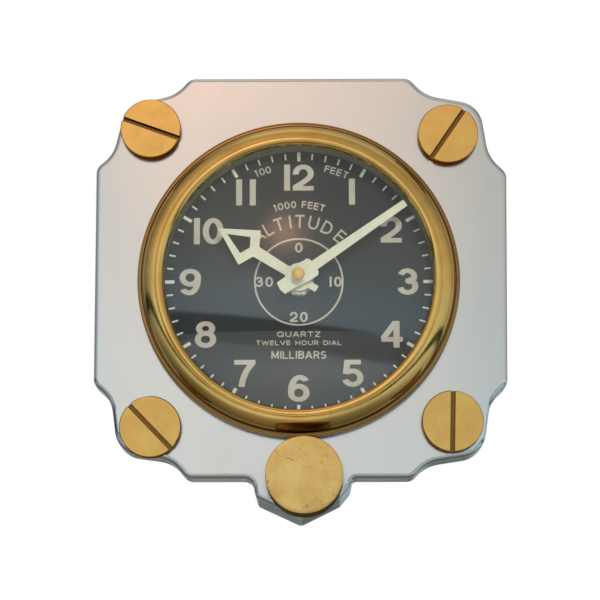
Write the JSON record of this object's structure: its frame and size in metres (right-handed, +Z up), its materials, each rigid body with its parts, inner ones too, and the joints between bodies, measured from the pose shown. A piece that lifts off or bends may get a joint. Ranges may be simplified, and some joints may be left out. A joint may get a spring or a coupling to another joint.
{
  "type": "instrument-style wall clock",
  "caption": "Wall clock in a cast aluminium instrument case with scalloped corners, brass bezel, domed glass, two hands, quartz movement and a knurled brass knob on a tongue.",
  "frame": {"origin": "on the axis of the hands, in the plane of the wall behind the clock", "axes": "+Z up, +X to the right as the dial is read, the dial faces -Y, +Y into the wall"},
  "size_m": [0.2012, 0.0606, 0.2178],
  "materials": {
    "cast_aluminium": "polished sand casting",
    "bezel_brass": "polished, reeded on the flange",
    "screw_brass": "brushed, worn",
    "knob_brass": "scratched, knurled side",
    "cap_brass": "polished",
    "glass": "domed, clear",
    "rubber": "matte",
    "rehaut_green": "satin green-grey",
    "dial_black": "satin printed",
    "hand_cream": "satin",
    "nickel": "bright",
    "steel": "zinc plated",
    "spring_brass": "sprung strip",
    "gear_plastic": "moulded",
    "movement_black": "moulded",
    "copper_wire": "enamelled winding",
    "board_green": "solder mask",
    "chip_black": "potting",
    "cell_wrap": "plain wrap",
    "magnet": "sintered",
    "felt": "felt"
  },
  "bodies": {
    "clock_case": {"case_casting": "cast_aluminium", "case_drum": "cast_aluminium", "case_tongue": "cast_aluminium", "corner_screws": "screw_brass", "rear_cover": "steel", "rear_cover_screws": "steel", "hanger_plate": "steel", "hanger_rivets": "steel", "bezel_ring": "bezel_brass", "bezel_screws": "steel", "glass_lens": "glass", "glass_gasket": "rubber", "rehaut_ring": "rehaut_green", "dial_plate": "dial_black", "movement_front_case": "movement_black", "movement_back_cover": "movement_black", "middle_plate": "gear_plastic", "fixing_bush": "spring_brass", "cushion_washer": "rubber", "fixing_washer": "nickel", "fixing_nut": "nickel", "stator_plate": "steel", "coil_core": "steel", "coil_bobbin": "gear_plastic", "coil_winding": "copper_wire", "circuit_board": "board_green", "quartz_crystal": "nickel", "driver_chip": "chip_black", "positive_terminal": "spring_brass", "negative_terminal": "spring_brass", "knob_bushing": "spring_brass"},
    "minute_group": {"minute_hand": "hand_cream", "minute_pinion": "gear_plastic", "cap_nut": "cap_brass"},
    "hour_group": {"hour_hand": "hand_cream", "hour_wheel": "gear_plastic"},
    "motion_gear": {"motion_wheel": "gear_plastic"},
    "set_gear": {"set_wheel": "gear_plastic"},
    "rotor": {"rotor_pinion": "gear_plastic", "rotor_magnet": "magnet"},
    "intermediate_gear": {"intermediate_wheel": "gear_plastic"},
    "seconds_gear": {"seconds_wheel": "gear_plastic"},
    "third_gear": {"third_wheel": "gear_plastic"},
    "centre_gear": {"centre_wheel": "gear_plastic"},
    "knob": {"knob_brass": "knob_brass", "knob_set_screw": "steel", "knob_shaft": "steel", "knob_felt_washer": "felt", "knob_clip": "steel"},
    "battery": {"aa_battery": "cell_wrap"}
  },
  "joints": [
    {"name": "minute_hand_spin", "type": "hinge", "parent": "clock_case", "child": "minute_group", "pos_m": [0, -0.03, 0], "axis": [0, 1, 0], "continuous": true},
    {"name": "hour_hand_spin", "type": "hinge", "parent": "clock_case", "child": "hour_group", "pos_m": [0, -0.03, 0], "axis": [0, 1, 0], "continuous": true},
    {"name": "motion_wheel_spin", "type": "hinge", "parent": "clock_case", "child": "motion_gear", "pos_m": [0.00624, -0.03, 0.0036], "axis": [0, 1, 0], "continuous": true},
    {"name": "set_wheel_spin", "type": "hinge", "parent": "clock_case", "child": "set_gear", "pos_m": [0.01344, -0.03, 0.0036], "axis": [0, 1, 0], "continuous": true},
    {"name": "rotor_spin", "type": "hinge", "parent": "clock_case", "child": "rotor", "pos_m": [0.00445, -0.03, 0.01133], "axis": [0, 1, 0], "continuous": true},
    {"name": "intermediate_spin", "type": "hinge", "parent": "clock_case", "child": "intermediate_gear", "pos_m": [0.00181, -0.03, 0.00676], "axis": [0, 1, 0], "continuous": true},
    {"name": "seconds_spin", "type": "hinge", "parent": "clock_case", "child": "seconds_gear", "pos_m": [0, -0.03, 0], "axis": [0, 1, 0], "continuous": true},
    {"name": "third_spin", "type": "hinge", "parent": "clock_case", "child": "third_gear", "pos_m": [-0.00736, -0.03, 0.00425], "axis": [0, 1, 0], "continuous": true},
    {"name": "centre_spin", "type": "hinge", "parent": "clock_case", "child": "centre_gear", "pos_m": [0, -0.03, 0], "axis": [0, 1, 0], "continuous": true},
    {"name": "knob_spin", "type": "hinge", "parent": "clock_case", "child": "knob", "pos_m": [0.0028, -0.03, -0.0972], "axis": [0, 1, 0], "continuous": true},
    {"name": "battery_slide", "type": "slide", "parent": "clock_case", "child": "battery", "axis": [0, 1, 0], "range_m": [0, 0.02]}
  ],
  "couplings": [
    {"joint": "hour_hand_spin", "follows": "minute_hand_spin", "ratio": 0.083333},
    {"joint": "motion_wheel_spin", "follows": "minute_hand_spin", "ratio": -0.33333},
    {"joint": "set_wheel_spin", "follows": "minute_hand_spin", "ratio": 1},
    {"joint": "intermediate_spin", "follows": "rotor_spin", "ratio": -0.2},
    {"joint": "seconds_spin", "follows": "rotor_spin", "ratio": 0.033333},
    {"joint": "third_spin", "follows": "rotor_spin", "ratio": -0.0044444},
    {"joint": "centre_spin", "follows": "rotor_spin", "ratio": 0.00055556}
  ]
}
